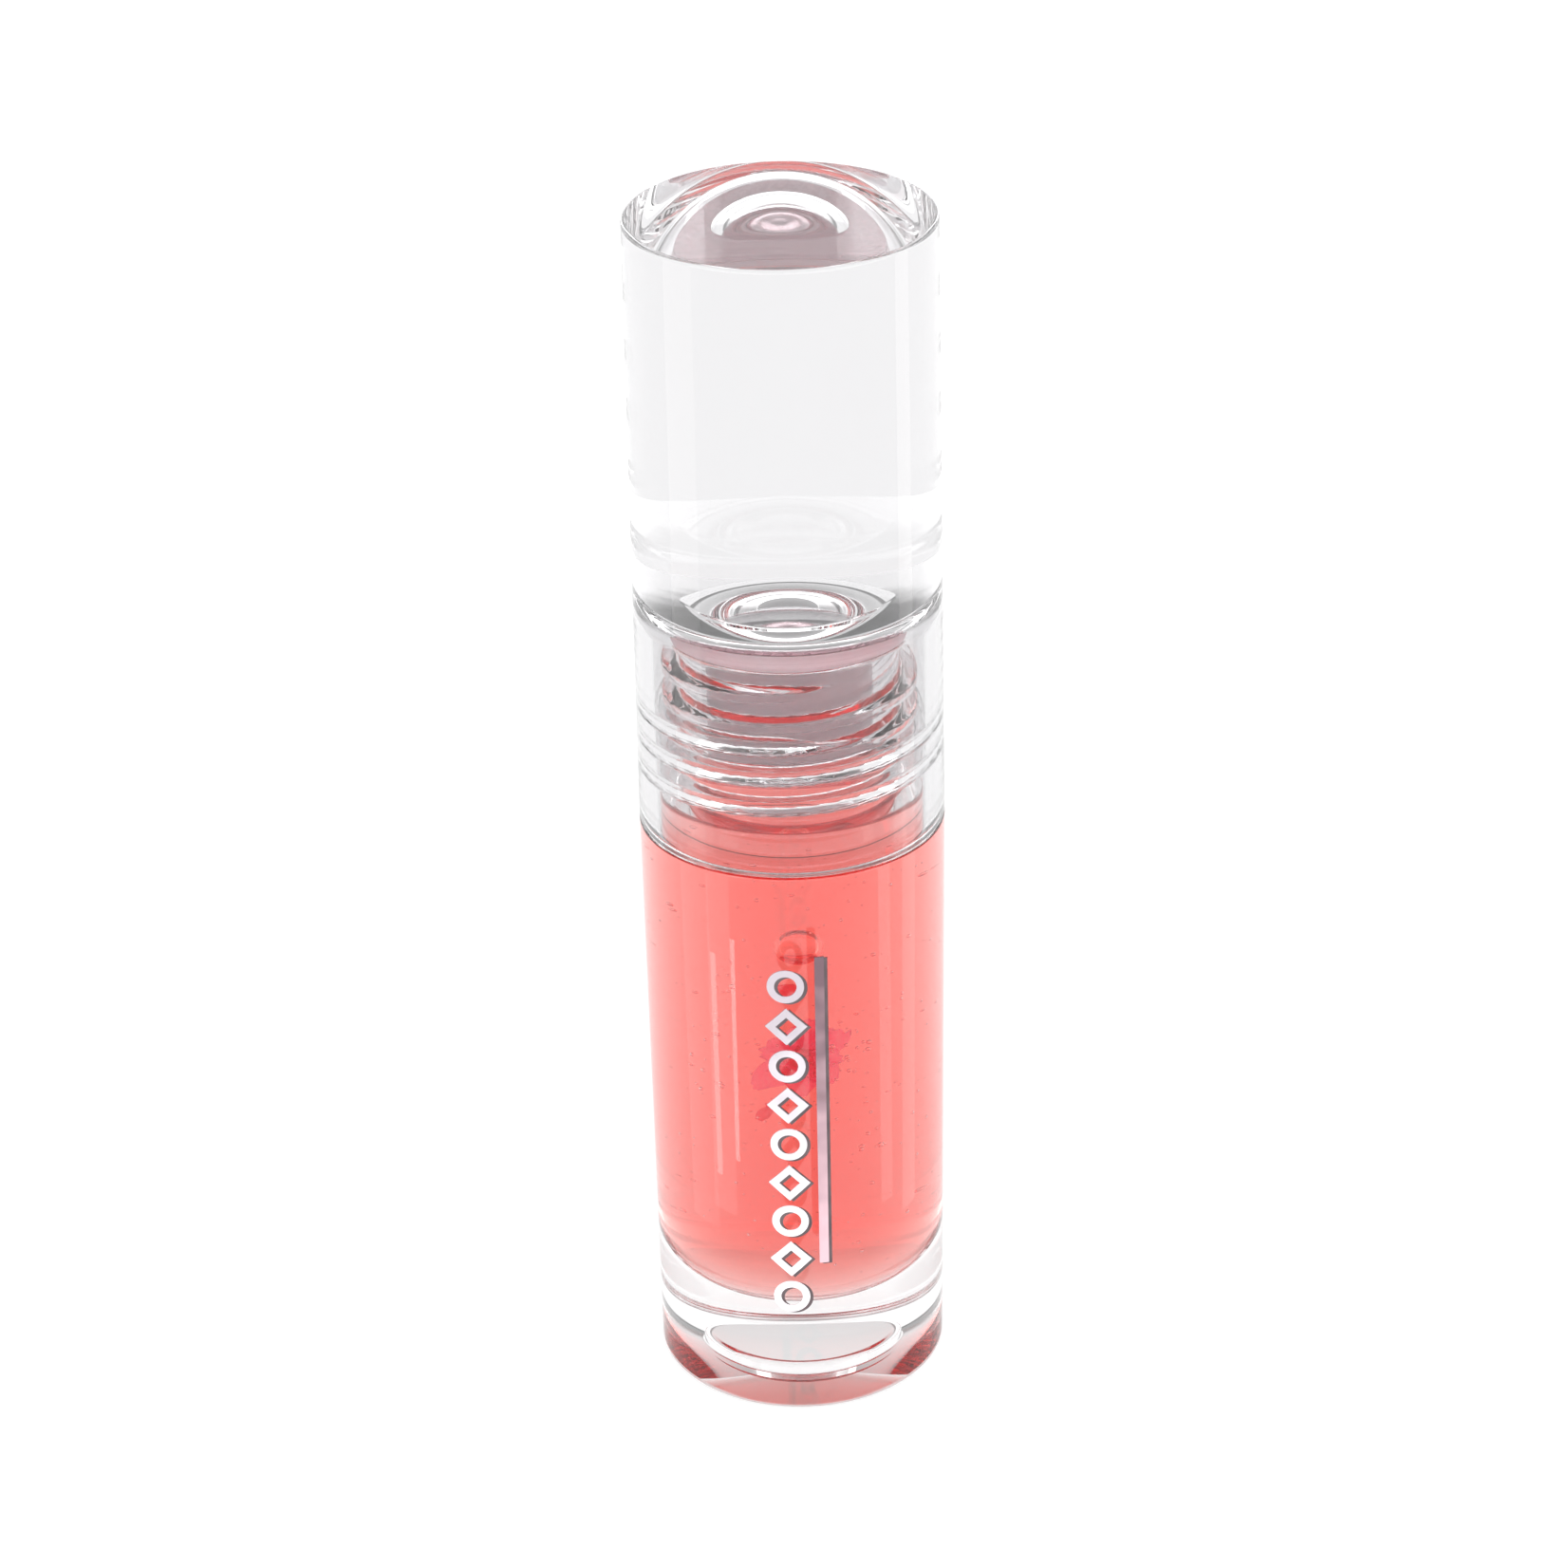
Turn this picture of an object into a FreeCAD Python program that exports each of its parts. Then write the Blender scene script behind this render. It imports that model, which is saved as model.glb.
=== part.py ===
import FreeCAD, Part
import os

import Sketcher

# A roll-on lip gloss tube: a thick clear bottle with a threaded neck, a snap-in ball housing, a
# rolling ball, coral gloss with a dried flower in it, and a solid clear screw cap as long as the
# bottle. Millimetres. The tube stands on its base: Z is its axis, Z = 0 is the base, -Y is the front.

SIZES = {
    # Outside
    "total_height": 85.0,
    "seam_height": 42.5,
    "seam_gap": 0.1,
    "base_radius": 10.05,
    "seam_radius": 10.35,
    "top_radius": 10.12,
    "base_round": 0.5,
    "top_round": 0.3,
    "seam_round": 0.15,
    # Bottle
    "recess_radius": 4.2,
    "recess_depth": 1.6,
    "recess_round": 0.4,
    "foot_radius": 8.9,
    "foot_rise": 0.6,
    "cavity_radius": 7.0,
    "cavity_floor": 7.3,
    "floor_round": 2.0,
    "cavity_ceiling": 42.6,
    "ceiling_round": 1.2,
    "collar_radius": 8.9,
    "collar_top": 45.3,
    "neck_radius": 7.35,
    "neck_bore": 5.6,
    "neck_rim": 56.2,
    "neck_round": 0.3,
    # Screw thread
    "thread_lead": 2.2,
    "thread_root": 0.1,
    "male_crest": 8.55,
    "male_start": 48.6,
    "male_rise": 6.6,
    "male_base_half": 0.55,
    "male_crest_half": 0.28,
    "female_crest": 7.65,
    "female_start": 46.4,
    "female_rise": 5.5,
    "female_base_half": 0.55,
    "female_crest_half": 0.25,
    # Ball housing
    "plug_bottom": 48.9,
    "flange_radius": 7.1,
    "flange_top": 58.2,
    "lip_outer": 3.5,
    "lip_crown": 3.2,
    "lip_top": 58.35,
    "throat_radius": 2.2,
    "socket_radius": 3.8,
    "ball_radius": 3.75,
    "ball_height": 55.75,
    # Gloss
    "gloss_top": 51.5,
    # Sealing ring
    "ring_inner": 3.7,
    "ring_outer": 6.9,
    "ring_bottom": 58.25,
    "ring_top": 58.85,
    "ring_round": 0.15,
    # Cap
    "cap_bore": 9.1,
    "roof_height": 58.9,
    "roof_round": 1.6,
    "pocket_radius": 5.8,
    "pocket_height": 55.24,
    # Foil decoration
    "foil_thickness": 0.08,
    "foil_reach": 2.0,
    "foil_low": 9.6,
    "foil_pitch": 3.1,
    "foil_size": 1.42,
    "foil_size_inside": 0.72,
    "foil_disc": 1.25,
    "foil_disc_inside": 0.75,
    "foil_column": 0.7,
    "bar_left": 1.25,
    "bar_width": 0.65,
    "bar_low": 12.3,
    "bar_length": 24.3,
    # Dried flower
    "flower_height": 25.6,
    "petal_curve": 5.25,
    "petal_half": 0.25,
    "petal_offset": 1.5,
    "core_radius": 0.75,
    "core_back": 0.6,
    "loose_curve": 1.4,
    "loose_half": 0.4,
}

MALE_START_ANGLE = -60.0
FEMALE_START_ANGLE = 120.0
FOIL_SHAPES = 9
FOIL_FRONT = -11.0
PETALS = 6
PETAL_LEAN = 24.0
LOOSE_PETALS = ((0.5, -1.5, 31.0, 30.0), (-1.7, -1.2, 20.4, 100.0))

doc = FreeCAD.newDocument("LipGlossTube")


def make_sheet():
    """The spreadsheet that drives every size."""
    sheet = doc.addObject("Spreadsheet::Sheet", "Sizes")
    for row, (name, value) in enumerate(SIZES.items(), start=1):
        sheet.set(f"A{row}", name)
        sheet.set(f"B{row}", str(value))
        sheet.setAlias(f"B{row}", name)
    doc.recompute()
    return sheet


def value_of(text):
    """The number that a sum of sizes comes to, such as "seam_height + seam_gap"."""
    total, sign = 0.0, 1
    for word in text.split():
        if word in ("+", "-"):
            sign = 1 if word == "+" else -1
        elif word != "0":
            total += sign * SIZES[word]
    return total


def cells(text):
    """The same sum as an expression on the sheet."""
    return " ".join(word if word in ("+", "-", "0") else f"Sizes.{word}" for word in text.split())


def origin_plane(body, role):
    """One of a body's own origin planes."""
    return next(item for item in body.Origin.OriginFeatures if item.Role == role)


def outline_sketch(body, name, outline, turn=0.0):
    """A closed outline of (radius, height) corners on the body's XZ plane, turned about Z."""
    sketch = body.newObject("Sketcher::SketchObject", name)
    sketch.AttachmentSupport = [(origin_plane(body, "XZ_Plane"), "")]
    sketch.MapMode = "FlatFace"
    sketch.AttachmentOffset = FreeCAD.Placement(
        FreeCAD.Vector(), FreeCAD.Rotation(FreeCAD.Vector(0, 1, 0), turn)
    )
    corners = [FreeCAD.Vector(value_of(r), value_of(z), 0) for r, z in outline]
    count = len(corners)
    for index, corner in enumerate(corners):
        sketch.addGeometry(Part.LineSegment(corner, corners[(index + 1) % count]))
    for index in range(count):
        sketch.addConstraint(Sketcher.Constraint("Coincident", index, 2, (index + 1) % count, 1))
    for index, (radius, height) in enumerate(outline):
        bind_corner(sketch, index, "DistanceX", -2, radius)
        bind_corner(sketch, index, "DistanceY", -1, height)
    return sketch


def bind_corner(sketch, index, kind, axis, text):
    """Hold one coordinate of a sketch line's first point to the sheet, or to an axis if it is 0."""
    if text == "0":
        sketch.addConstraint(Sketcher.Constraint("PointOnObject", index, 1, axis))
        return
    row = sketch.addConstraint(Sketcher.Constraint(kind, -1, 1, index, 1, value_of(text)))
    sketch.setExpression(f"Constraints[{row}]", cells(text))


def new_body(name):
    """An empty body whose label names its part."""
    body = doc.addObject("PartDesign::Body", name)
    body.Label = name
    return body


def turned(body, outline):
    """The outline revolved a full turn about Z."""
    sketch = outline_sketch(body, body.Name + "_outline", outline)
    feature = body.newObject("PartDesign::Revolution", body.Name + "_turned")
    feature.Profile = sketch
    feature.ReferenceAxis = (sketch, ["V_Axis"])
    feature.Angle = 360
    doc.recompute()
    return feature


def circle_edge(shape, radius, height):
    """The name of a shape's circular edge of that radius and height."""
    for number, edge in enumerate(shape.Edges, start=1):
        curve = edge.Curve
        if isinstance(curve, Part.Circle):
            near = abs(curve.Radius - radius) < 1e-4 and abs(curve.Center.z - height) < 1e-4
            if near:
                return f"Edge{number}"
    raise ValueError(f"no edge of radius {radius} at height {height}")


def rounded(body, size, *places):
    """A fillet of one size on the circular edges at (radius, height) places."""
    base = body.Tip
    names = [circle_edge(base.Shape, value_of(r), value_of(z)) for r, z in places]
    fillet = body.newObject("PartDesign::Fillet", f"{body.Name}_{size}")
    fillet.Base = (base, names)
    fillet.setExpression("Radius", cells(size))
    doc.recompute()
    return fillet


def sphere_cut(body, radius, height):
    """A ball-shaped pocket on the axis."""
    before = body.Shape.Volume
    sphere = body.newObject("PartDesign::SubtractiveSphere", body.Name + "_sphere")
    sphere.setExpression("Radius", cells(radius))
    sphere.setExpression("Placement.Base.z", cells(height))
    doc.recompute()
    assert body.Shape.Volume < before, f"{body.Name}: the ball pocket cuts nothing"


def threaded(body, outline, rise, turn):
    """A ridge of trapezoid section wound about Z as a right-hand thread."""
    before = body.Shape.Volume
    sketch = outline_sketch(body, body.Name + "_ridge", outline, turn)
    helix = body.newObject("PartDesign::AdditiveHelix", body.Name + "_thread")
    helix.Profile = sketch
    helix.ReferenceAxis = (sketch, ["V_Axis"])
    helix.Mode = 0
    helix.setExpression("Pitch", cells("thread_lead"))
    helix.setExpression("Height", cells(rise))
    doc.recompute()
    assert body.Shape.Volume > before, f"{body.Name}: the thread adds nothing"


def make_bottle_body():
    """The clear bottle: thick wall and base, a collar and a threaded neck."""
    body = new_body("bottle_body")
    turned(body, [
        ("0", "recess_depth"),
        ("recess_radius", "recess_depth"),
        ("recess_radius", "foot_rise"),
        ("foot_radius", "0"),
        ("base_radius", "0"),
        ("seam_radius", "seam_height"),
        ("collar_radius", "seam_height"),
        ("collar_radius", "collar_top"),
        ("neck_radius", "collar_top"),
        ("neck_radius", "neck_rim"),
        ("neck_bore", "neck_rim"),
        ("neck_bore", "cavity_ceiling"),
        ("cavity_radius", "cavity_ceiling"),
        ("cavity_radius", "cavity_floor"),
        ("0", "cavity_floor"),
    ])
    rounded(body, "base_round", ("base_radius", "0"))
    rounded(body, "seam_round", ("seam_radius", "seam_height"))
    rounded(body, "recess_round", ("recess_radius", "recess_depth"))
    rounded(body, "floor_round", ("cavity_radius", "cavity_floor"))
    rounded(body, "ceiling_round", ("cavity_radius", "cavity_ceiling"))
    rounded(body, "neck_round", ("neck_radius", "neck_rim"), ("collar_radius", "collar_top"))
    threaded(body, [
        ("neck_radius - thread_root", "male_start - male_base_half"),
        ("male_crest", "male_start - male_crest_half"),
        ("male_crest", "male_start + male_crest_half"),
        ("neck_radius - thread_root", "male_start + male_base_half"),
    ], "male_rise", MALE_START_ANGLE)
    return body


def make_roller_housing():
    """The milky plug that snaps into the neck bore, with the socket that holds the ball."""
    body = new_body("roller_housing")
    turned(body, [
        ("throat_radius", "plug_bottom"),
        ("neck_bore", "plug_bottom"),
        ("neck_bore", "neck_rim"),
        ("flange_radius", "neck_rim"),
        ("flange_radius", "flange_top"),
        ("lip_outer", "flange_top"),
        ("lip_crown", "lip_top"),
        ("throat_radius", "lip_top"),
    ])
    sphere_cut(body, "socket_radius", "ball_height")
    return body


def make_roller_ball():
    """The polished ball that carries the gloss out."""
    ball = doc.addObject("Part::Sphere", "roller_ball")
    ball.Label = "roller_ball"
    ball.setExpression("Radius", cells("ball_radius"))
    ball.setExpression("Placement.Base.z", cells("ball_height"))
    return ball


def make_sealing_ring():
    """The soft washer that closes the gap between the housing flange and the cap's roof."""
    body = new_body("sealing_ring")
    turned(body, [
        ("ring_inner", "ring_bottom"),
        ("ring_outer", "ring_bottom"),
        ("ring_outer", "ring_top"),
        ("ring_inner", "ring_top"),
    ])
    rounded(body, "ring_round", ("ring_outer", "ring_bottom"), ("ring_outer", "ring_top"))
    return body


def make_cap_shell():
    """The cap: a solid clear block over a threaded cavity with a dome for the ball."""
    body = new_body("cap_shell")
    turned(body, [
        ("cap_bore", "seam_height + seam_gap"),
        ("seam_radius", "seam_height + seam_gap"),
        ("top_radius", "total_height"),
        ("0", "total_height"),
        ("0", "roof_height"),
        ("cap_bore", "roof_height"),
    ])
    rounded(body, "top_round", ("top_radius", "total_height"))
    rounded(body, "seam_round", ("seam_radius", "seam_height + seam_gap"))
    rounded(body, "roof_round", ("cap_bore", "roof_height"))
    sphere_cut(body, "pocket_radius", "pocket_height")
    threaded(body, [
        ("cap_bore + thread_root", "female_start - female_base_half"),
        ("cap_bore + thread_root", "female_start + female_base_half"),
        ("female_crest", "female_start + female_crest_half"),
        ("female_crest", "female_start - female_crest_half"),
    ], "female_rise", FEMALE_START_ANGLE)
    return body


def lens(name, curve, half, placement):
    """A petal: the lens that two equal balls share, flat across its own Y."""
    balls = []
    for side, sign in (("front", "-"), ("back", "")):
        ball = doc.addObject("Part::Sphere", f"{name}_{side}")
        ball.setExpression("Radius", cells(curve))
        ball.setExpression("Placement.Base.y", f"{sign}(Sizes.{curve} - Sizes.{half})")
        balls.append(ball)
    petal = doc.addObject("Part::Common", name)
    petal.Base, petal.Tool = balls
    petal.Placement = placement
    return petal


def make_dried_flower():
    """A small dried flower: petals set round a core, open towards the front."""
    centre = FreeCAD.Vector(0, 0, SIZES["flower_height"])
    core = doc.addObject("Part::Sphere", "flower_core")
    core.setExpression("Radius", cells("core_radius"))
    core.setExpression("Placement.Base.y", cells("core_back"))
    core.setExpression("Placement.Base.z", cells("flower_height"))
    pieces = [core]
    for number in range(PETALS):
        roll = FreeCAD.Rotation(FreeCAD.Vector(0, 1, 0), 360.0 * number / PETALS)
        lean = FreeCAD.Rotation(FreeCAD.Vector(1, 0, 0), PETAL_LEAN)
        reach = roll.multVec(FreeCAD.Vector(0, 0, SIZES["petal_offset"]))
        place = FreeCAD.Placement(centre + reach, roll.multiply(lean))
        pieces.append(lens(f"petal_{number + 1}", "petal_curve", "petal_half", place))
    flower = doc.addObject("Part::MultiFuse", "dried_flower")
    flower.Label = "dried_flower"
    flower.Shapes = pieces
    return flower


def make_loose_petals():
    """Petals that have come off the flower and float beside it."""
    pieces = []
    for number, (x, y, z, lean) in enumerate(LOOSE_PETALS, start=1):
        turn = FreeCAD.Rotation(FreeCAD.Vector(1, 1, 0), lean)
        place = FreeCAD.Placement(FreeCAD.Vector(x, y, z), turn)
        pieces.append(lens(f"loose_petal_{number}", "loose_curve", "loose_half", place))
    petals = doc.addObject("Part::Compound", "loose_petals")
    petals.Label = "loose_petals"
    petals.Links = pieces
    return petals


def make_gloss_fill(flower, petals):
    """The gloss: it fills the cavity up to the plug and stands in the throat under the ball."""
    body = new_body("gloss_pool")
    turned(body, [
        ("0", "cavity_floor"),
        ("cavity_radius", "cavity_floor"),
        ("cavity_radius", "cavity_ceiling"),
        ("neck_bore", "cavity_ceiling"),
        ("neck_bore", "plug_bottom"),
        ("throat_radius", "plug_bottom"),
        ("throat_radius", "gloss_top"),
        ("0", "gloss_top"),
    ])
    rounded(body, "floor_round", ("cavity_radius", "cavity_floor"))
    rounded(body, "ceiling_round", ("cavity_radius", "cavity_ceiling"))
    around_flower = doc.addObject("Part::Cut", "gloss_round_flower")
    around_flower.Base = body
    around_flower.Tool = flower
    gloss = doc.addObject("Part::Cut", "gloss_fill")
    gloss.Label = "gloss_fill"
    gloss.Base = around_flower
    gloss.Tool = petals
    return gloss


def cone(name, extra):
    """The bottle's tapered outside up to the seam, grown by a size."""
    solid = doc.addObject("Part::Cone", name)
    solid.setExpression("Radius1", cells("base_radius") + extra)
    solid.setExpression("Radius2", cells("seam_radius") + extra)
    solid.setExpression("Height", cells("seam_height"))
    return solid


def foil_block(name, size, height, side):
    """A round or lozenge-shaped block that runs back through the bottle's front wall."""
    round_block = size.startswith("foil_disc")
    block = doc.addObject("Part::Cylinder" if round_block else "Part::Prism", name)
    back = FreeCAD.Rotation(FreeCAD.Vector(1, 0, 0), -90.0)
    if round_block:
        block.setExpression("Radius", cells(size))
    else:
        block.Polygon = 4
        block.setExpression("Circumradius", cells(size))
    block.setExpression("Height", cells("foil_reach"))
    block.Placement = FreeCAD.Placement(FreeCAD.Vector(side, FOIL_FRONT, height), back)
    return block


def foil_shape(number):
    """One shape of the foil column: a ring or an open lozenge, by turns."""
    size = "foil_size" if number % 2 else "foil_disc"
    height = SIZES["foil_low"] + number * SIZES["foil_pitch"]
    side = -SIZES["foil_column"]
    shape = doc.addObject("Part::Cut", f"foil_shape_{number + 1}")
    shape.Base = foil_block(f"foil_outline_{number + 1}", size, height, side)
    shape.Tool = foil_block(f"foil_opening_{number + 1}", size + "_inside", height, side)
    return shape


def make_foil_print():
    """A stamped foil decoration on the front: a column of rings and open lozenges beside a bar."""
    skin = doc.addObject("Part::Cut", "foil_skin")
    skin.Base = cone("foil_outside", " + Sizes.foil_thickness")
    skin.Tool = cone("foil_inside", "")
    blocks = [foil_shape(number) for number in range(FOIL_SHAPES)]
    bar = doc.addObject("Part::Box", "foil_bar")
    bar.setExpression("Length", cells("bar_width"))
    bar.setExpression("Width", cells("foil_reach"))
    bar.setExpression("Height", cells("bar_length"))
    bar.Placement.Base = FreeCAD.Vector(SIZES["bar_left"], FOIL_FRONT, SIZES["bar_low"])
    pattern = doc.addObject("Part::MultiFuse", "foil_pattern")
    pattern.Shapes = blocks + [bar]
    foil = doc.addObject("Part::Common", "foil_print")
    foil.Label = "foil_print"
    foil.Base = skin
    foil.Tool = pattern
    return foil


def check_document(parts):
    """Stop if any feature failed or any part has no sound solid."""
    for item in doc.Objects:
        if {"Invalid", "Error"} & set(item.State):
            raise RuntimeError(f"{item.Name} failed: {item.State}")
    for part in parts:
        shape = part.Shape
        if shape.isNull() or not shape.isValid() or not shape.Solids:
            raise RuntimeError(f"{part.Label} has no sound solid")


def main():
    make_sheet()
    flower = make_dried_flower()
    petals = make_loose_petals()
    parts = [
        make_bottle_body(),
        make_gloss_fill(flower, petals),
        flower,
        petals,
        make_foil_print(),
        make_roller_housing(),
        make_roller_ball(),
        make_sealing_ring(),
        make_cap_shell(),
    ]
    doc.recompute()
    check_document(parts)
    os.makedirs("parts", exist_ok=True)
    for part in parts:
        part.Shape.exportStep(f"parts/{part.Label}.step")
        print(f"{part.Label}: {part.Shape.Volume:.2f} mm3, {len(part.Shape.Solids)} solids")


main()
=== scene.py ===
"""The looks of a roll-on lip gloss tube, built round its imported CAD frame."""

import math
import random

import bpy
import numpy as np
from mathutils import Euler, Matrix, Vector


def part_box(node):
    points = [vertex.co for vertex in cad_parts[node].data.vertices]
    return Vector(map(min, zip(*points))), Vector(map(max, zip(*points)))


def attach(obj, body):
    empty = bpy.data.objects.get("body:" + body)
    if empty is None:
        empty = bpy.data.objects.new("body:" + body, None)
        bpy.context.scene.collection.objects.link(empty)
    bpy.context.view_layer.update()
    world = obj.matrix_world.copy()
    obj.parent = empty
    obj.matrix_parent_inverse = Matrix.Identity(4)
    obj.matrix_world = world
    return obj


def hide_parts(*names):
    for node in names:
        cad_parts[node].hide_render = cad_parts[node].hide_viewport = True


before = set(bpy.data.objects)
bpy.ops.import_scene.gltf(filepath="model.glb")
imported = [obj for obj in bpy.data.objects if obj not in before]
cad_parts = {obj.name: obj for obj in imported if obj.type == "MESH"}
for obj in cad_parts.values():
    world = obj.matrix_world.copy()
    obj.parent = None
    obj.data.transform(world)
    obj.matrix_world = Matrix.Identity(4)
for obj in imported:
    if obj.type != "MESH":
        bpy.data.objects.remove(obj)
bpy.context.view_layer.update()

MM = 0.001

# Sizes in millimetres, as the CAD has them. Those that a node's box gives are read from it.
BASE_RADIUS = 10.05
SEAM_RADIUS = 10.35
TOP_RADIUS = 10.12
SEAM_HEIGHT = 42.5
SEAM_GAP = 0.1
RECESS_RADIUS = 4.2
RECESS_DEPTH = 1.6
FOOT_RADIUS = 8.9
FOOT_RISE = 0.6
CAVITY_CEILING = 42.6
COLLAR_RADIUS = 8.9
COLLAR_TOP = 45.3
NECK_RADIUS = 7.35
NECK_BORE = 5.6
PLUG_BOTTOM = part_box("roller_housing")[0].z / MM
LIP_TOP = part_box("roller_housing")[1].z / MM
FLANGE_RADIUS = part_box("roller_housing")[1].x / MM
FLANGE_TOP = 58.2
LIP_OUTER = 3.5
LIP_CROWN = 3.2
THROAT_RADIUS = 2.2
SOCKET_RADIUS = 3.8
BALL_LOW, BALL_HIGH = (corner.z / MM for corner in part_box("roller_ball"))
BALL_RADIUS = (BALL_HIGH - BALL_LOW) / 2
BALL_HEIGHT = (BALL_HIGH + BALL_LOW) / 2
NECK_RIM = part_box("bottle_body")[1].z / MM
CAP_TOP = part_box("cap_shell")[1].z / MM
CAP_BORE = 9.1
ROOF_HEIGHT = 58.9
ROOF_ROUND = 1.6
POCKET_RADIUS = 5.8
POCKET_HEIGHT = 55.24
RING_INNER = 3.7
RING_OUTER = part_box("sealing_ring")[1].x / MM
RING_BOTTOM, RING_TOP = (corner.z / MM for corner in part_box("sealing_ring"))
CAVITY_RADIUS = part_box("gloss_fill")[1].x / MM
CAVITY_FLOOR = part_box("gloss_fill")[0].z / MM
GLOSS_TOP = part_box("gloss_fill")[1].z / MM
FLOOR_ROUND = 2.0
CEILING_ROUND = 1.2
WETTING = 0.03
PLUG_FIT = 0.02
FLOWER = (0.2, 0.0, 25.2)
LOOSE_PETALS = ((0.5, -1.5, 30.7), (-1.7, -1.2, 20.4))

PLASTIC_IOR = 1.5
BOTTLE_TINT = (0.975, 0.965, 0.97)
CAP_TINT = (0.80, 0.795, 0.805)
GLOSS_IOR = 1.47
GLOSS_TINT = (0.985, 0.15, 0.05, 1)
GLOSS_DENSITY = 174

# The large bubble as (centre, radii), and bubble clusters as (count, centre, reach), in mm.
BIG_BUBBLE = ((0.15, -0.6, 34.0), (1.15, 0.9, 1.35))
BUBBLE_CLUSTERS = (
    (16, (2.4, -1.5, 25.2), (0.9, 0.8, 1.4)),
    (8, (-4.6, -3.0, 24.0), (0.8, 0.8, 1.2)),
    (7, (3.6, -2.0, 18.5), (0.7, 0.8, 0.9)),
    (6, (-3.4, -2.6, 32.0), (0.9, 0.8, 0.9)),
)

# Fine bubbles: how many, the share by the wall, and where they may be, in mm.
FINE_BUBBLES = 420
WALL_SHARE = 0.55
BY_WALL = (6.3, 6.8)
INSIDE = 6.2
FINE_HEIGHTS = (8.5, 41.5)

# Flower petals as (direction in degrees from straight up, length, half width) in mm.
FLOWER_PETALS = (
    (10, 3.6, 0.95),
    (42, 3.0, 0.95),
    (95, 1.9, 0.9),
    (140, 2.6, 0.9),
    (180, 3.0, 0.8),
    (222, 3.3, 0.9),
    (275, 1.9, 0.8),
    (325, 2.5, 0.8),
)

# Petal colours, at their darkest and their lightest.
PETAL_TONES = {
    "pink_petal": ((1.0, 0.28, 0.72), (1.0, 0.55, 0.90)),
    "crimson_petal": ((1.0, 0.07, 0.42), (1.0, 0.32, 0.70)),
    "dark_petal": ((0.9, 0.04, 0.12), (1.0, 0.12, 0.25)),
}

# The floor: half its side in metres, its own glow, which keeps it white, and its drop in mm.
FLOOR_HALF = 3.0
FLOOR_GLOW = 0.78
FLOOR_GAP = 0.1
# Tones of the surround by the sine of the height above the horizon. It is white to 25 degrees,
# darkest just above that edge, grey to 31 degrees, bright at 35 and greyer again overhead. The
# steps at 25 and 35 degrees lie where the cap's roof and the base mirror them to the camera.
SURROUND = ((0.0, 1.0), (0.4215, 1.0), (0.426, 0.1), (0.432, 0.12), (0.45, 0.36), (0.52, 0.28), (0.57, 0.8),
            (0.8, 0.6), (0.92, 0.45))
FRONT_GAIN = 3.2

# The camera: its place in metres, its tilt, turn and lean in degrees, and its lens in mm.
CAMERA_PLACE = (0, -0.2671, 0.1833)
CAMERA_ANGLES = (27.5, -0.11, -1.25)
SENSOR_WIDTH = 36
LENS = 102.2906
BOUNCES = 32

# Light panels as (name, nearest and farthest direction, distance, bottom, top, strength).
PANELS = (
    ("panel_left", -57, -80, 30, 0, 110, 1.7),
    ("strip_left", -53, -57, 30, 5, 24, 4.0),
    ("panel_right", 76, 89, 30, 0, 110, 1.9),
)

# How the foil's painted shadow, a dark copy of the foil, sits against it: degrees round, and mm down and in.
FOIL_SHADOW_TURN = math.radians(1.3)
FOIL_SHADOW_DROP = 0.1
FOIL_SHADOW_SINK = 0.03

# Heights between which painted shade runs over the foil, from light low down to darker higher up, and the
# gap between its column and its bar, in metres.
FOIL_SHADE_HEIGHTS = (0.012, 0.036)
FOIL_BAR_EDGE = (0.0009, 0.0011)

THREAD_LEAD = 2.2
MALE = {"start": 48.6, "turn": -60.0, "rise": 6.6, "height": 1.2, "base": 0.55, "crest": 0.28}
FEMALE = {"start": 46.4, "turn": 120.0, "rise": 5.5, "height": 1.45, "base": 0.55, "crest": 0.25}
THREAD_FADE = 40.0

SEGMENTS = 256
ARC_STEP = math.radians(7.5)
THREAD_STEP = 0.06
SAME_RADIUS = 0.01


# ---------------------------------------------------------------- turned surfaces


def outline(corners, closed=False):
    """Points and outward normals along a half section of (radius, height, rounding) corners, in mm.

    The solid lies to the left of the way the corners run."""
    points, normals = [], []
    count = len(corners)

    def direction(a, b):
        step = np.array(corners[b % count][:2], float) - np.array(corners[a % count][:2], float)
        return step / np.linalg.norm(step)

    for index, (radius, height, rounding) in enumerate(corners):
        here = np.array((radius, height), float)
        first, last = index == 0 and not closed, index == count - 1 and not closed
        into = direction(index, index + 1) if first else direction(index - 1, index)
        out = into if last else direction(index, index + 1)
        start = np.array((into[1], -into[0]))
        turn = math.atan2(into[0] * out[1] - into[1] * out[0], float(into @ out))
        if abs(turn) < 1e-6 or rounding == 0:
            points.append(here)
            normals.append(start)
            continue
        reach = rounding * math.tan(abs(turn) / 2)
        side = 1 if turn > 0 else -1
        centre = here - into * reach - side * rounding * start
        steps = max(3, math.ceil(abs(turn) / ARC_STEP))
        for step in range(steps + 1):
            angle = turn * step / steps
            cosine, sine = math.cos(angle), math.sin(angle)
            normal = np.array((start[0] * cosine - start[1] * sine,
                               start[0] * sine + start[1] * cosine))
            points.append(centre + side * rounding * normal)
            normals.append(normal)
    return points, normals


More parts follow.
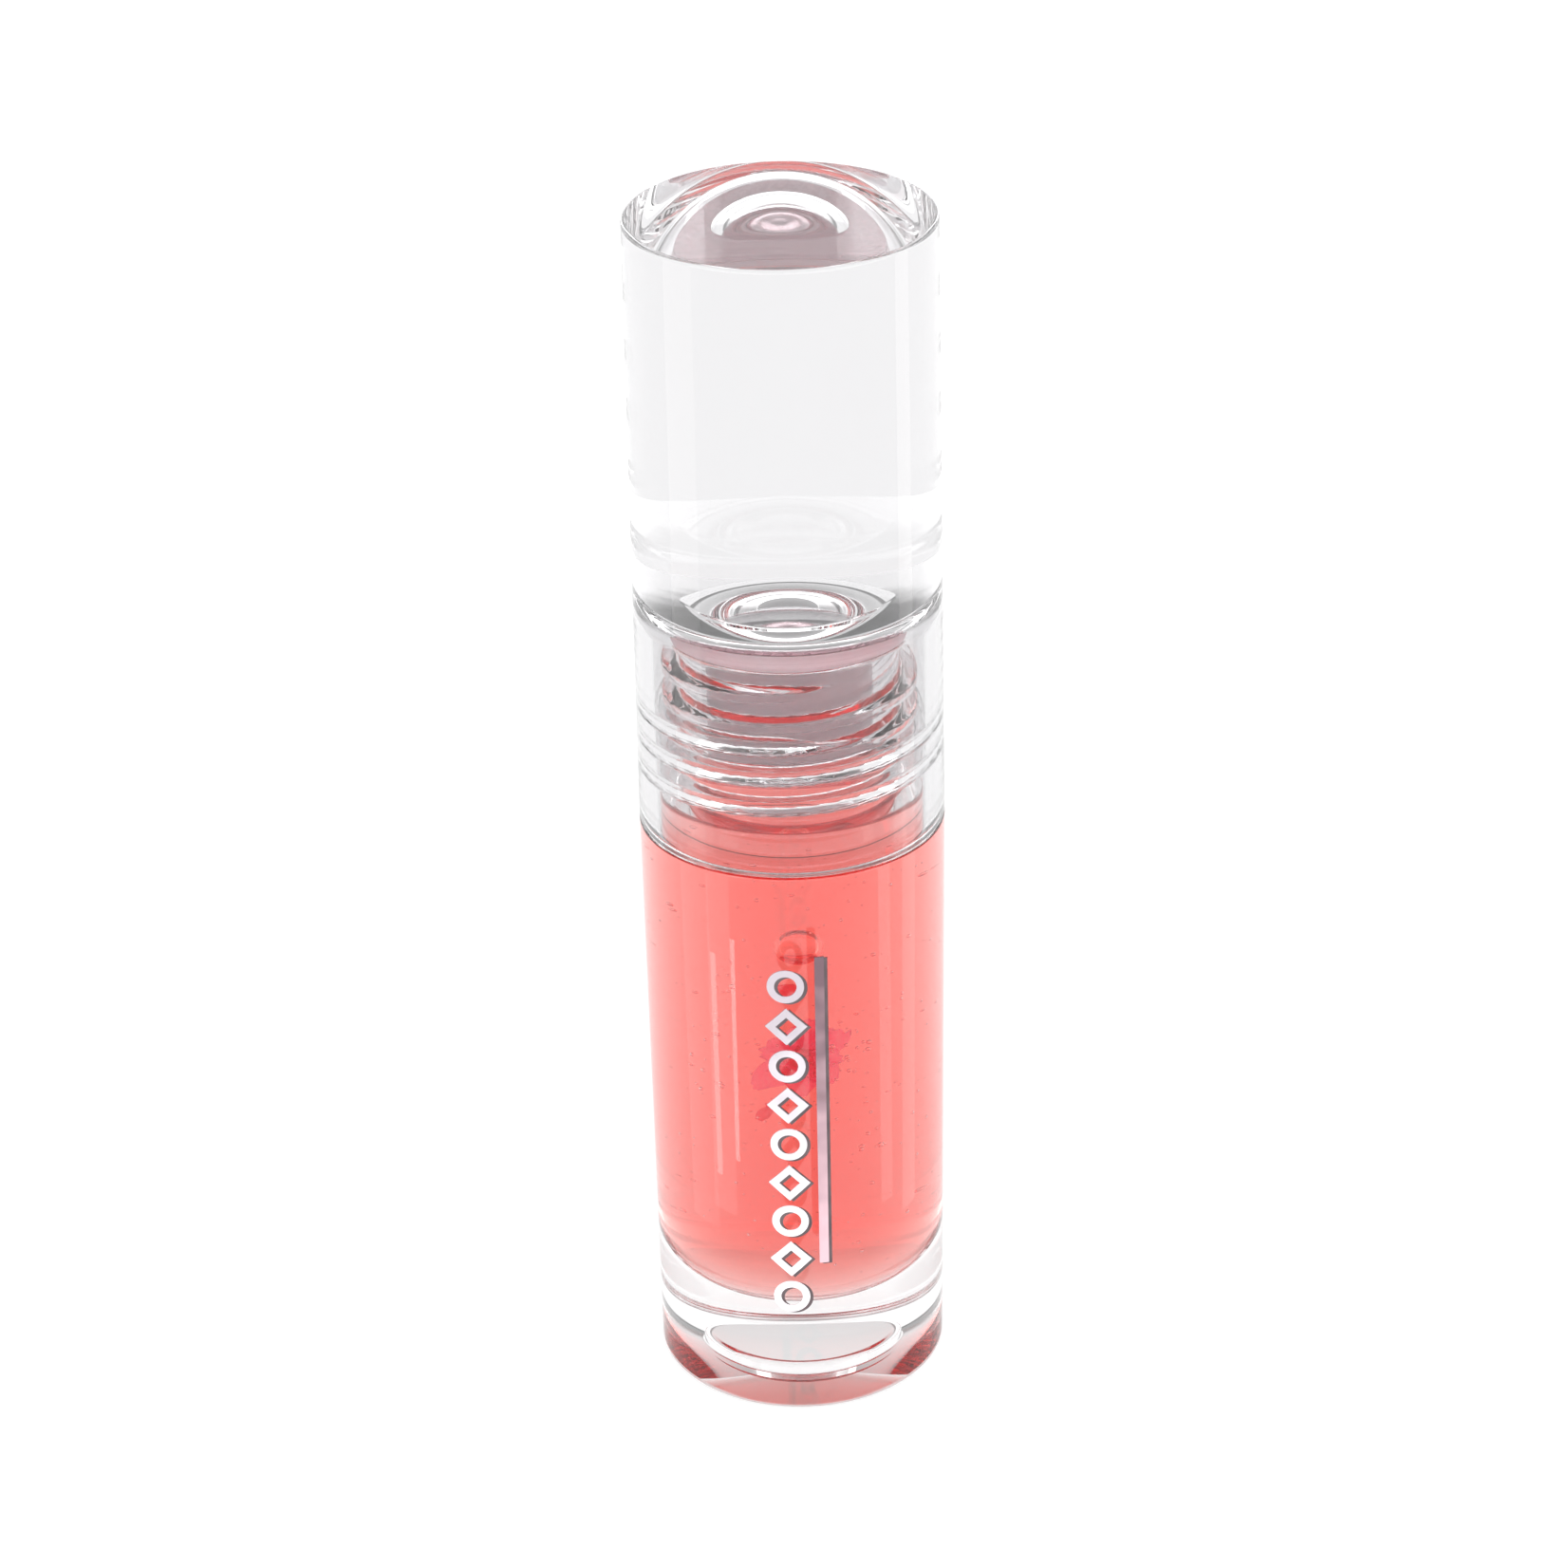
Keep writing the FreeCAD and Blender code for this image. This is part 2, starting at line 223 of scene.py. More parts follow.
def divided(points, normals, radius, low, high):
    """The outline with its straight run at that radius, between two heights, cut into short steps."""
    new_points, new_normals = [points[0]], [normals[0]]
    for before, after, normal in zip(points, points[1:], normals[1:]):
        straight = abs(before[0] - radius) < SAME_RADIUS and abs(after[0] - radius) < SAME_RADIUS
        if straight and min(before[1], after[1]) < high and max(before[1], after[1]) > low:
            steps = math.ceil(abs(after[1] - before[1]) / THREAD_STEP)
            for step in range(1, steps):
                new_points.append(before + (after - before) * step / steps)
                new_normals.append(normal)
        new_points.append(after)
        new_normals.append(normal)
    return new_points, new_normals


def ridge(thread, angles, heights):
    """How far a screw ridge stands out, in mm, at each angle and height."""
    start = math.radians(thread["turn"])
    full = thread["rise"] / THREAD_LEAD * math.tau
    fade = math.radians(THREAD_FADE)
    stand = np.zeros(np.broadcast(angles, heights).shape)
    for turn in range(-1, math.ceil(full / math.tau) + 1):
        run = np.mod(angles - start, math.tau) + math.tau * turn
        end = np.clip(np.minimum(run, full - run) / fade, 0, 1)
        grow = end * end * (3 - 2 * end)
        away = np.abs(heights - thread["start"] - THREAD_LEAD * run / math.tau)
        base = thread["base"] * (0.35 + 0.65 * grow)
        slope = np.clip((base - away) / (thread["base"] - thread["crest"]), 0, 1)
        stand = np.maximum(stand, thread["height"] * grow * slope * slope * (3 - 2 * slope))
    return stand


def lathe(name, section, closed=False, thread=None, at_radius=None, segments=SEGMENTS):
    """A section turned about Z as a closed mesh with exact normals, with a screw ridge if one is given."""
    points, normals = section
    if thread:
        low, high = thread["start"] - 1, thread["start"] + thread["rise"] + 1
        points, normals = divided(points, normals, at_radius, low, high)
    angles = np.arange(segments) * math.tau / segments
    verts, vert_normals, rows = [], [], []
    for point, normal in zip(points, normals):
        radius, height = point
        if radius < 1e-6:
            rows.append([len(verts)])
            verts.append((0, 0, height))
            vert_normals.append((0, 0, math.copysign(1, normal[1])))
            continue
        stand, lean_turn, lean_up = 0, 0, 0
        if thread and abs(radius - at_radius) < SAME_RADIUS:
            step = 1e-3
            stand = ridge(thread, angles, height)
            lean_turn = (ridge(thread, angles + step, height) - stand) / step
            lean_up = (ridge(thread, angles, height + step) - stand) / step
            out = math.copysign(1, normal[0])
            stand = stand * out
        radii = np.full(segments, radius) + stand
        across, around, up = normal[0], -lean_turn * np.ones(segments) / radii, normal[1] - lean_up
        rows.append(list(range(len(verts), len(verts) + segments)))
        for k, angle in enumerate(angles):
            cosine, sine = math.cos(angle), math.sin(angle)
            verts.append((radii[k] * cosine, radii[k] * sine, height))
            up_k = up if np.isscalar(up) else up[k]
            normal_k = Vector((across * cosine - around[k] * sine, across * sine + around[k] * cosine, up_k))
            vert_normals.append(normal_k.normalized())
    faces = []
    pairs = list(zip(rows, rows[1:]))
    if closed:
        pairs.append((rows[-1], rows[0]))
    for low_row, high_row in pairs:
        for k in range(segments):
            after = (k + 1) % segments
            if len(low_row) == 1:
                faces.append((low_row[0], high_row[after], high_row[k]))
            elif len(high_row) == 1:
                faces.append((low_row[k], low_row[after], high_row[0]))
            else:
                faces.append((low_row[k], low_row[after], high_row[after], high_row[k]))
    return smooth_object(name, np.array(verts) * MM, faces, vert_normals)


def smooth_object(name, verts, faces, normals=None):
    """A smooth-shaded mesh object in the scene."""
    mesh = bpy.data.meshes.new(name)
    mesh.from_pydata([tuple(v) for v in verts], [], faces)
    mesh.shade_smooth()
    if normals is not None:
        mesh.normals_split_custom_set_from_vertices([tuple(n) for n in normals])
    piece = bpy.data.objects.new(name, mesh)
    bpy.context.scene.collection.objects.link(piece)
    return piece


def finish_piece(piece, material, body, slot, *replaced):
    """Give a piece its material and its body, and hide the CAD nodes it stands for. The slot is not used."""
    piece.data.materials.append(material)
    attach(piece, body)
    if replaced:
        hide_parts(*replaced)
    return piece


# ---------------------------------------------------------------- materials


def new_material(name):
    """An empty node material, its node tree and its Principled node."""
    material = bpy.data.materials.new(name)
    material.use_nodes = True
    tree = material.node_tree
    return material, tree, tree.nodes["Principled BSDF"]


def node(tree, kind, **values):
    """A node with those input values; underscores stand for spaces."""
    made = tree.nodes.new(kind)
    for name, value in values.items():
        made.inputs[name.replace("_", " ")].default_value = value
    return made


def grain(tree, scale, detail=3.0, stretch=(1, 1, 1)):
    """Noise over the object; the scale is in features per millimetre."""
    place = tree.nodes.new("ShaderNodeTexCoord")
    size = node(tree, "ShaderNodeMapping", Scale=tuple(1000 * part for part in stretch))
    noise = node(tree, "ShaderNodeTexNoise", Scale=scale, Detail=detail)
    tree.links.new(place.outputs["Object"], size.inputs["Vector"])
    tree.links.new(size.outputs[0], noise.inputs["Vector"])
    return noise.outputs["Fac"]


def spread(tree, source, low, high):
    """The middle of a noise's range stretched from low to high."""
    span = node(tree, "ShaderNodeMapRange", From_Min=0.3, From_Max=0.7, To_Min=low, To_Max=high)
    tree.links.new(source, span.inputs["Value"])
    return span.outputs[0]


def shade(tree, source, dark, light):
    """A colour that runs from one to the other over a noise's range."""
    blend = tree.nodes.new("ShaderNodeValToRGB")
    ends = blend.color_ramp.elements
    ends[0].position, ends[1].position = 0.3, 0.7
    ends[0].color, ends[1].color = (*dark, 1), (*light, 1)
    tree.links.new(source, blend.inputs[0])
    return blend.outputs[0]


def relief(tree, shader, source, depth, strength=1.0):
    """Bumps that many millimetres deep."""
    bump = node(tree, "ShaderNodeBump", Strength=strength, Distance=depth * MM)
    tree.links.new(source, bump.inputs["Height"])
    tree.links.new(bump.outputs[0], shader.inputs["Normal"])


def finish_surface(tree, shader, rough, bumps):
    """Roughness and bumps from noise: (scale, low, high) and (scale, depth)."""
    scale, low, high = rough
    tree.links.new(spread(tree, grain(tree, scale), low, high), shader.inputs["Roughness"])
    scale, depth = bumps
    relief(tree, shader, grain(tree, scale, 2.0), depth)


def set_inputs(shader, **values):
    """Values on the shader's own sockets; underscores stand for spaces."""
    for name, value in values.items():
        shader.inputs[name.replace("_", " ")].default_value = value


def clear_plastic(name, tint, level=0.5):
    """Polished clear plastic with faint moulding ripples."""
    material, tree, shader = new_material(name)
    set_inputs(shader, Base_Color=(*tint, 1), IOR=PLASTIC_IOR, Transmission_Weight=1,
               Specular_IOR_Level=level)
    finish_surface(tree, shader, (0.4, 0.0, 0.01), (0.3, 0.0012))
    return material


def gloss_liquid():
    """Clear coral lip gloss."""
    material, tree, shader = new_material("coral_gloss")
    set_inputs(shader, Base_Color=(1, 1, 1, 1), IOR=GLOSS_IOR, Transmission_Weight=1,
               Specular_IOR_Level=0)
    finish_surface(tree, shader, (0.3, 0.0, 0.01), (0.2, 0.002))
    absorb = node(tree, "ShaderNodeVolumeAbsorption", Color=GLOSS_TINT, Density=GLOSS_DENSITY)
    tree.links.new(absorb.outputs[0], tree.nodes["Material Output"].inputs["Volume"])
    return material


def air_in_gloss():
    """The skin of an air bubble, seen from the gloss; its faces look inwards."""
    material, tree, shader = new_material("gloss_bubble")
    set_inputs(shader, Base_Color=(1, 1, 1, 1), IOR=GLOSS_IOR, Transmission_Weight=1)
    finish_surface(tree, shader, (2.0, 0.0, 0.02), (2.0, 0.001))
    return material


def milky_plastic():
    """Pink-tinged natural polythene."""
    material, tree, shader = new_material("milky_plug")
    set_inputs(shader, IOR=1.5, Subsurface_Weight=0.4, Subsurface_Scale=0.0008,
               Subsurface_Radius=(1.0, 0.6, 0.55), Transmission_Weight=0.1)
    tone = shade(tree, grain(tree, 0.3), (1.0, 0.58, 0.62), (1.0, 0.68, 0.71))
    tree.links.new(tone, shader.inputs["Base Color"])
    finish_surface(tree, shader, (1.5, 0.3, 0.45), (3.0, 0.01))
    return material


def steel():
    """Polished steel with faint handling marks."""
    material, tree, shader = new_material("steel_ball")
    set_inputs(shader, Metallic=1)
    tone = shade(tree, grain(tree, 0.8), (0.86, 0.66, 0.70), (0.95, 0.78, 0.81))
    tree.links.new(tone, shader.inputs["Base Color"])
    finish_surface(tree, shader, (2.5, 0.16, 0.3), (6.0, 0.001))
    return material


def silicone():
    """Clear satin silicone."""
    material, tree, shader = new_material("silicone_ring")
    set_inputs(shader, IOR=1.41, Transmission_Weight=0.55)
    tone = shade(tree, grain(tree, 0.6), (0.95, 0.56, 0.63), (0.99, 0.68, 0.74))
    tree.links.new(tone, shader.inputs["Base Color"])
    finish_surface(tree, shader, (1.2, 0.2, 0.38), (2.0, 0.01))
    return material


def petal_tissue(name):
    """Dried petal: thin veined tissue that lets light through."""
    material, tree, shader = new_material(name)
    dark, light = PETAL_TONES[name]
    set_inputs(shader, IOR=1.03, Transmission_Weight=0.95, Specular_IOR_Level=0.2)
    veins = grain(tree, 1.4, 5.0, (2.2, 1, 0.6))
    tree.links.new(shade(tree, veins, dark, light), shader.inputs["Base Color"])
    finish_surface(tree, shader, (3.0, 0.4, 0.7), (4.0, 0.06))
    return material


def foil():
    """Satin silver foil, with painted shade: lighter low down, darker higher up."""
    material, tree, shader = new_material("silver_foil")
    set_inputs(shader, Metallic=0.35)
    place = tree.nodes.new("ShaderNodeTexCoord")
    split = tree.nodes.new("ShaderNodeSeparateXYZ")
    tree.links.new(place.outputs["Object"], split.inputs[0])
    # Painted shade: the foil's colour runs from light at the bottom to darker towards the top.
    low, high = FOIL_SHADE_HEIGHTS
    rise = node(tree, "ShaderNodeMapRange", From_Min=low, From_Max=high, To_Min=0.75, To_Max=0.2)
    tree.links.new(split.outputs["Z"], rise.inputs["Value"])
    mix = node(tree, "ShaderNodeMath")
    tree.links.new(rise.outputs[0], mix.inputs[0])
    tree.links.new(spread(tree, grain(tree, 0.3, 2.0), -0.12, 0.12), mix.inputs[1])
    shapes = shade(tree, mix.outputs[0], (0.50, 0.45, 0.49), (0.94, 0.90, 0.93))
    bar = shade(tree, mix.outputs[0], (0.16, 0.10, 0.12), (0.70, 0.47, 0.52))
    near, far = FOIL_BAR_EDGE
    aside = node(tree, "ShaderNodeMapRange", From_Min=near, From_Max=far)
    tree.links.new(split.outputs["X"], aside.inputs["Value"])
    blend = tree.nodes.new("ShaderNodeMix")
    blend.data_type = "RGBA"
    tree.links.new(aside.outputs[0], blend.inputs["Factor"])
    tree.links.new(shapes, blend.inputs["A"])
    tree.links.new(bar, blend.inputs["B"])
    tree.links.new(blend.outputs["Result"], shader.inputs["Base Color"])
    finish_surface(tree, shader, (1.0, 0.34, 0.5), (9.0, 0.004))
    return material


def foil_shadow_material():
    """Painted shadow: a dark sheet just behind the foil that stands in for the foil's shadow."""
    material, tree, shader = new_material("foil_painted_shadow")
    tone = shade(tree, grain(tree, 0.5), (0.055, 0.04, 0.045), (0.11, 0.08, 0.085))
    tree.links.new(tone, shader.inputs["Base Color"])
    finish_surface(tree, shader, (2.0, 0.45, 0.7), (5.0, 0.004))
    return material


# ---------------------------------------------------------------- pieces


def make_bottle():
    """The clear bottle. The walls that the gloss wets don't reflect, so they have their own material."""
    section = outline([
        (0, RECESS_DEPTH, 0),
        (RECESS_RADIUS, RECESS_DEPTH, 0.4),
        (RECESS_RADIUS, FOOT_RISE, 0.12),
        (FOOT_RADIUS, 0, 0.12),
        (BASE_RADIUS, 0, 0.5),
        (SEAM_RADIUS, SEAM_HEIGHT, 0.15),
        (COLLAR_RADIUS, SEAM_HEIGHT, 0.1),
        (COLLAR_RADIUS, COLLAR_TOP, 0.3),
        (NECK_RADIUS, COLLAR_TOP, 0.4),
        (NECK_RADIUS, NECK_RIM, 0.3),
        (NECK_BORE, NECK_RIM, 0.1),
        (NECK_BORE, CAVITY_CEILING, 0.3),
        (CAVITY_RADIUS, CAVITY_CEILING, CEILING_ROUND),
        (CAVITY_RADIUS, CAVITY_FLOOR, FLOOR_ROUND),
        (0, CAVITY_FLOOR, 0),
    ])
    piece = lathe("bottle_glass", section, thread=MALE, at_radius=NECK_RADIUS)
    finish_piece(piece, clear_plastic("clear_bottle", BOTTLE_TINT), "bottle", "clear_bottle", "bottle_body")
    piece.data.materials.append(clear_plastic("wetted_wall", BOTTLE_TINT, level=0))
    for face in piece.data.polygons:
        radius, height = math.hypot(face.center.x, face.center.y) / MM, face.center.z / MM
        wet = radius < CAVITY_RADIUS + WETTING and CAVITY_FLOOR - WETTING < height < PLUG_BOTTOM
        face.material_index = int(wet)
    return piece


def make_gloss():
    """The gloss, grown a hair into the walls round it so that no air gap shows."""
    grown = CAVITY_RADIUS + WETTING
    bore = NECK_BORE + WETTING
    section = outline([
        (0, CAVITY_FLOOR - WETTING, 0),
        (grown, CAVITY_FLOOR - WETTING, FLOOR_ROUND + WETTING),
        (grown, CAVITY_CEILING + WETTING, CEILING_ROUND + WETTING),
        (bore, CAVITY_CEILING + WETTING, 0.25),
        (bore, PLUG_BOTTOM + WETTING, 0.1),
        (THROAT_RADIUS + WETTING, PLUG_BOTTOM + WETTING, 0.1),
        (THROAT_RADIUS + WETTING, GLOSS_TOP, 0.2),
        (0, GLOSS_TOP, 0),
    ])
    piece = lathe("gloss_liquid", section)
    return finish_piece(piece, gloss_liquid(), "bottle", "coral_gloss", "gloss_fill")


def make_housing():
    """The milky plug with the socket that holds the ball."""
    lip = math.sqrt(SOCKET_RADIUS**2 - (LIP_TOP - BALL_HEIGHT) ** 2)
    drop = math.sqrt(SOCKET_RADIUS**2 - THROAT_RADIUS**2)
    points, normals = outline([
        (THROAT_RADIUS, BALL_HEIGHT - drop, 0),
        (THROAT_RADIUS, PLUG_BOTTOM, 0.15),
        (NECK_BORE - PLUG_FIT, PLUG_BOTTOM, 0.3),
        (NECK_BORE - PLUG_FIT, NECK_RIM, 0.1),
        (FLANGE_RADIUS, NECK_RIM, 0.1),
        (FLANGE_RADIUS, FLANGE_TOP, 0.15),
        (LIP_OUTER, FLANGE_TOP, 0.1),
        (LIP_CROWN, LIP_TOP, 0.1),
        (lip, LIP_TOP, 0),
    ])
    high = math.atan2(LIP_TOP - BALL_HEIGHT, lip)
    low = -math.atan2(drop, THROAT_RADIUS)
    for step in range(1, 24):
        angle = high + (low - high) * step / 24
        normal = np.array((-math.cos(angle), -math.sin(angle)))
        points.append(np.array((0, BALL_HEIGHT)) - SOCKET_RADIUS * normal)
        normals.append(normal)
    piece = lathe("ball_housing", (points, normals), closed=True)
    return finish_piece(piece, milky_plastic(), "bottle", "milky_plug", "roller_housing")


def make_ball():
    """The ball."""
    rows = 48
    angles = [math.pi * (step / rows - 0.5) for step in range(rows + 1)]
    normals = [np.array((math.cos(a), math.sin(a))) for a in angles]
    points = [np.array((0, BALL_HEIGHT)) + BALL_RADIUS * n for n in normals]
    piece = lathe("steel_ball", (points, normals), segments=96)
    return finish_piece(piece, steel(), "ball", "steel_ball", "roller_ball")


def make_cap():
    """The clear cap, solid above its threaded bore and the dome over the ball."""
    low = SEAM_HEIGHT + SEAM_GAP
    pocket = math.sqrt(POCKET_RADIUS**2 - (ROOF_HEIGHT - POCKET_HEIGHT) ** 2)
    roof_points, roof_normals = outline([
        (0, ROOF_HEIGHT, 0),
        (pocket, ROOF_HEIGHT, 0),
        (CAP_BORE, ROOF_HEIGHT, ROOF_ROUND),
        (CAP_BORE, low, 0.15),
        (SEAM_RADIUS, low, 0.15),
        (TOP_RADIUS, CAP_TOP, 0.3),
        (0, CAP_TOP, 0),
    ])
    # The dome takes the place of the roof's centre.
    roof_points, roof_normals = roof_points[1:], roof_normals[1:]
    edge = math.atan2(ROOF_HEIGHT - POCKET_HEIGHT, pocket)
    dome = [math.pi / 2 + (edge - math.pi / 2) * step / 20 for step in range(20)]
    dome_normals = [np.array((-math.cos(a), -math.sin(a))) for a in dome]
    dome_points = [np.array((0, POCKET_HEIGHT)) - POCKET_RADIUS * n for n in dome_normals]
    section = (dome_points + roof_points, dome_normals + roof_normals)
    piece = lathe("clear_cap", section, thread=FEMALE, at_radius=CAP_BORE)
    return finish_piece(piece, clear_plastic("clear_cap", CAP_TINT), "cap", "clear_cap", "cap_shell")


def make_ring():
    """The sealing washer."""
    section = outline([
        (RING_INNER, RING_BOTTOM, 0.1),
        (RING_OUTER, RING_BOTTOM, 0.15),
        (RING_OUTER, RING_TOP, 0.15),
        (RING_INNER, RING_TOP, 0.1),
    ], closed=True)
    piece = lathe("silicone_ring", section, closed=True)
    return finish_piece(piece, silicone(), "seal", "silicone", "sealing_ring")


def ball_mesh(centre, radii, rows=8, around=12):
    """The points and inward-facing faces of an ellipsoid bubble, in mm."""
    points, faces = [], []
    for row in range(rows + 1):
        tilt = math.pi * row / rows
        for k in range(around):
            turn = math.tau * k / around
            way = (math.sin(tilt) * math.cos(turn), math.sin(tilt) * math.sin(turn), math.cos(tilt))
            points.append([c + r * w for c, r, w in zip(centre, radii, way)])
    for row in range(rows):
        for k in range(around):
            after = (k + 1) % around
            low, high = row * around, (row + 1) * around
            faces.append((low + k, low + after, high + after, high + k))
    return points, faces


def make_bubbles():
    """Air in the gloss: a large bubble under the shoulder, clusters and fine scattered ones."""
    rng = random.Random(11)
    bubbles = [(*BIG_BUBBLE, 24, 32)]
    for count, centre, reach in BUBBLE_CLUSTERS:
        for _ in range(count):
            place = [c + rng.uniform(-r, r) for c, r in zip(centre, reach)]
            bubbles.append((place, (rng.uniform(0.05, 0.2),) * 3, 8, 12))
    for _ in range(FINE_BUBBLES):
        turn = rng.uniform(0, math.tau)
        near_wall = rng.random() < WALL_SHARE
        out = rng.uniform(*BY_WALL) if near_wall else INSIDE * math.sqrt(rng.random())
        place = (out * math.cos(turn), out * math.sin(turn), rng.uniform(*FINE_HEIGHTS))
        size = 0.035 + 0.1 * rng.random() ** 3
        bubbles.append((place, (size, size, size), 6, 8))
    points, faces = [], []
    for centre, radii, rows, around in bubbles:
        more_points, more_faces = ball_mesh(centre, radii, rows, around)
        faces += [tuple(len(points) + index for index in face) for face in more_faces]
        points += more_points
    piece = smooth_object("gloss_bubbles", np.array(points) * MM, faces)
    return finish_piece(piece, air_in_gloss(), "bottle", "coral_gloss")


def petal(length, width, cup, ruffle, phase, thickness=0.07):
    """A ruffled petal as a closed thin sheet growing up Z from its root, in mm."""
    rows, columns = 18, 14
    front = []
    for row in range(rows + 1):
        along = row / rows
        half = width * (0.12 + math.sin(math.pi * min(1, along * 0.93 + 0.02)) ** 0.7)
        for column in range(columns + 1):
            across = 2 * column / columns - 1
            wave = math.sin(5.5 * across + phase) * math.cos(3 * along + phase)
            edge = ruffle * (abs(across) ** 1.5 * along + 0.35 * along)
            depth = cup * (across * across * 0.8 + along * along) - cup * along + edge * wave
            tall = length * along * (1 - 0.12 * across * across) + 0.3 * edge * math.sin(9 * across)
            front.append((half * across, depth, tall))
    front = np.array(front)
    back = front + (0, thickness, 0)
    size = len(front)
    stride = columns + 1
    faces = []
    for row in range(rows):
        for column in range(columns):
            a = row * stride + column
            b, c, d = a + 1, a + stride + 1, a + stride
            faces += [(a, b, c, d), (size + d, size + c, size + b, size + a)]
    rim = list(range(columns))
    rim += [row * stride + columns for row in range(rows)]
    rim += [rows * stride + column for column in range(columns, 0, -1)]
    rim += [row * stride for row in range(rows, 0, -1)]
    for a, b in zip(rim, rim[1:] + rim[:1]):
        faces.append((b, a, size + a, size + b))
    return np.vstack((front, back)), faces


def petal_group(name, material, petals):
    """Petals set at (place, roll, lean, turn, length, width, cup, ruffle, phase) as one piece."""
    points, faces = [], []
    for place, roll, lean, turn, *shape in petals:
        more_points, more_faces = petal(*shape)
        way = Euler((math.radians(lean), math.radians(roll), math.radians(turn)), "XYZ").to_matrix()
        faces += [tuple(len(points) + index for index in face) for face in more_faces]
        points += [Vector(place) + way @ Vector(point) for point in more_points]
    piece = smooth_object(name, np.array(points) * MM, faces)
    piece.data.materials.append(material)
    return piece


def make_flower():
    """The dried flower: an outer whorl of broad petals round a crumpled heart."""
    rng = random.Random(5)
    x, y, z = FLOWER
    outer, heart = [], []
    for roll, length, width in FLOWER_PETALS:
        shape = (length, width, rng.uniform(0.3, 0.7), rng.uniform(0.25, 0.45), rng.uniform(0, 6))
        outer.append(((x, y + rng.uniform(-0.3, 0.3), z), roll, rng.uniform(5, 30), 0, *shape))
    for k in range(5):
        shape = (rng.uniform(1.0, 1.7), 0.5, 0.5, 0.4, rng.uniform(0, 6))
        place = (x + rng.uniform(-0.4, 0.4), y - 0.4, z + rng.uniform(-1.2, 1.0))
        heart.append((place, 72 * k + rng.uniform(-20, 20), rng.uniform(30, 60), 0, *shape))
    whorl = petal_group("flower_petals", petal_tissue("pink_petal"), outer)
    middle = petal_group("flower_heart", petal_tissue("crimson_petal"), heart)
    for piece in (whorl, middle):
        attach(piece, "bottle")
        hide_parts("dried_flower")


def make_loose_petals():
    """Two petals adrift in the gloss."""
    shapes = ((-70, 20, 10, 1.9, 0.5, 0.3, 0.3, 1.0), (40, 10, 60, 1.5, 0.5, 0.3, 0.3, 3.0))
    petals = [(place, *shape) for place, shape in zip(LOOSE_PETALS, shapes)]
    piece = petal_group("adrift_petals", petal_tissue("dark_petal"), petals)
    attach(piece, "bottle")
    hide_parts("loose_petals")


def make_foil():
    """The foil keeps its CAD shape; a dark copy of it, turned, dropped and sunk a little, is a painted
    shadow beside it.
    """
    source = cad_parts["foil_print"]
    source.data.materials.clear()
    source.data.materials.append(foil())
    # Painted shadow: a copy of the foil's mesh, moved round, down and in, and coloured dark.
    mesh = source.data.copy()
    mesh.name = "foil_shadow_sheet"
    mesh.transform(source.matrix_world)
    for vert in mesh.vertices:
        x, y, z = vert.co / MM
        reach = math.hypot(x, y)
        turn = math.atan2(y, x) + FOIL_SHADOW_TURN
        reach -= FOIL_SHADOW_SINK
        vert.co = Vector((reach * math.cos(turn), reach * math.sin(turn), z - FOIL_SHADOW_DROP)) * MM
    piece = bpy.data.objects.new("foil_shadow_sheet", mesh)
    bpy.context.scene.collection.objects.link(piece)
    mesh.materials.clear()
    return finish_piece(piece, foil_shadow_material(), "bottle", "silver_foil")


# ---------------------------------------------------------------- studio


def make_floor():
    """A plain pale floor, lit mostly by its own glow."""
    mesh = bpy.data.meshes.new("studio_floor")
    signs = ((-1, -1), (1, -1), (1, 1), (-1, 1))
    corners = [(x * FLOOR_HALF, y * FLOOR_HALF, -FLOOR_GAP * MM) for x, y in signs]
    mesh.from_pydata(corners, [], [(0, 1, 2, 3)])
    floor = bpy.data.objects.new("studio_floor", mesh)
    bpy.context.scene.collection.objects.link(floor)
    material, tree, shader = new_material("floor")
    tone = shade(tree, grain(tree, 0.01), (0.25, 0.25, 0.25), (0.26, 0.26, 0.26))
    tree.links.new(tone, shader.inputs["Base Color"])
    set_inputs(shader, Roughness=1.0, Emission_Color=(1, 1, 1, 1), Emission_Strength=FLOOR_GLOW)
    floor.data.materials.append(material)


def make_panel(name, near, far, distance, low, high, strength):
    """An upright light panel facing the tube between two directions, in degrees from the front."""
    steps = 12
    points, faces = [], []
    for step in range(steps + 1):
        turn = math.radians(near + (far - near) * step / steps)
        for height in (low, high):
            points.append((distance * math.sin(turn), -distance * math.cos(turn), height))
    for step in range(steps):
        a = 2 * step
        faces.append((a, a + 1, a + 3, a + 2))
    mesh = bpy.data.meshes.new(name)
    mesh.from_pydata([tuple(part * MM for part in point) for point in points], [], faces)
    panel = bpy.data.objects.new(name, mesh)
    bpy.context.scene.collection.objects.link(panel)
    material, tree, shader = new_material(name)
    set_inputs(shader, Base_Color=(0, 0, 0, 1), Specular_IOR_Level=0, Emission_Color=(1, 0.98, 0.97, 1),
               Emission_Strength=strength)
    mesh.materials.append(material)
    panel.visible_camera = False


